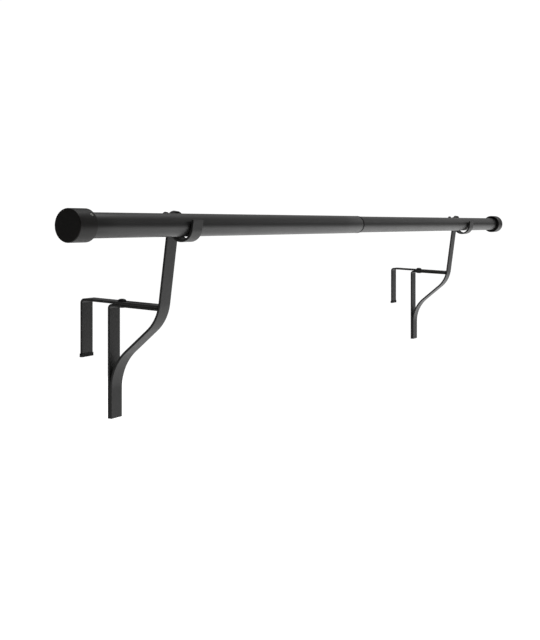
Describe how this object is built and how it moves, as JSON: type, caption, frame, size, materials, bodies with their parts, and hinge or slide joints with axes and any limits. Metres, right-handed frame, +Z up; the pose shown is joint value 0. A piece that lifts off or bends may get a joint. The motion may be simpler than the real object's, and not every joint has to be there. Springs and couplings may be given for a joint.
{
  "type": "telescoping bar on two hook-over brackets",
  "caption": "Telescoping round bar with end caps, held in front of and above a panel by two strap brackets that hook over its top edge.",
  "frame": {"origin": "the top front edge of the panel the brackets hook over, half way between the two brackets", "axes": "+X along the bar, +Y from the panel's front face towards its back, +Z up"},
  "size_m": [1.28, 0.162, 0.2383],
  "materials": {
    "coat": "satin black powder coat",
    "cap_coat": "satin black powder coat",
    "black_oxide": "black oxide on steel",
    "bright_steel": "plain steel",
    "plastic": "black moulded plastic",
    "rubber": "black rubber"
  },
  "bodies": {
    "left_bracket": {"left_front_strap": "coat", "left_arm": "coat", "left_cradle": "coat", "left_clamp_nut": "black_oxide", "left_lock_nut": "coat"},
    "left_hook": {"left_hook_strap": "coat", "left_hook_tip": "rubber"},
    "left_clamp": {"left_clamp_screw": "black_oxide"},
    "left_lock": {"left_lock_screw": "black_oxide"},
    "outer_bar": {"outer_tube": "coat", "tube_collar": "plastic", "left_end_cap": "cap_coat", "left_cap_plug": "plastic", "left_cap_set_screw": "bright_steel"},
    "inner_bar": {"inner_tube": "coat", "inner_guide": "plastic", "right_end_cap": "cap_coat", "right_cap_plug": "plastic", "right_cap_set_screw": "bright_steel"},
    "right_bracket": {"right_front_strap": "coat", "right_arm": "coat", "right_cradle": "coat", "right_clamp_nut": "black_oxide", "right_lock_nut": "coat"},
    "right_hook": {"right_hook_strap": "coat", "right_hook_tip": "rubber"},
    "right_clamp": {"right_clamp_screw": "black_oxide"},
    "right_lock": {"right_lock_screw": "black_oxide"}
  },
  "joints": [
    {"name": "left_hook_slide", "type": "slide", "parent": "left_bracket", "child": "left_hook", "axis": [0, 0.9993, 0.0384], "range_m": [0, 0.04]},
    {"name": "left_clamp_turn", "type": "hinge", "parent": "left_bracket", "child": "left_clamp", "pos_m": [-0.45, -0.0133, -0.00051], "axis": [0, -0.0384, 0.9993], "range_deg": [-90, 1080]},
    {"name": "left_lock_turn", "type": "hinge", "parent": "left_bracket", "child": "left_lock", "pos_m": [-0.45, -0.0866, 0.0971], "axis": [0, 0.9907, 0.1357], "range_deg": [-90, 1440]},
    {"name": "bar_slide", "type": "slide", "parent": "left_bracket", "child": "outer_bar", "axis": [1, 0, 0], "range_m": [-0.4, 0.15]},
    {"name": "telescope", "type": "slide", "parent": "outer_bar", "child": "inner_bar", "axis": [1, 0, 0], "range_m": [-0.42, 0.04]},
    {"name": "right_bracket_slide", "type": "slide", "parent": "inner_bar", "child": "right_bracket", "axis": [1, 0, 0], "range_m": [-0.42, 0.15]},
    {"name": "right_hook_slide", "type": "slide", "parent": "right_bracket", "child": "right_hook", "axis": [0, 0.9993, 0.0384], "range_m": [0, 0.04]},
    {"name": "right_clamp_turn", "type": "hinge", "parent": "right_bracket", "child": "right_clamp", "pos_m": [0.45, -0.0133, -0.00051], "axis": [0, -0.0384, 0.9993], "range_deg": [-90, 1080]},
    {"name": "right_lock_turn", "type": "hinge", "parent": "right_bracket", "child": "right_lock", "pos_m": [0.45, -0.0866, 0.0971], "axis": [0, 0.9907, 0.1357], "range_deg": [-90, 1440]}
  ]
}
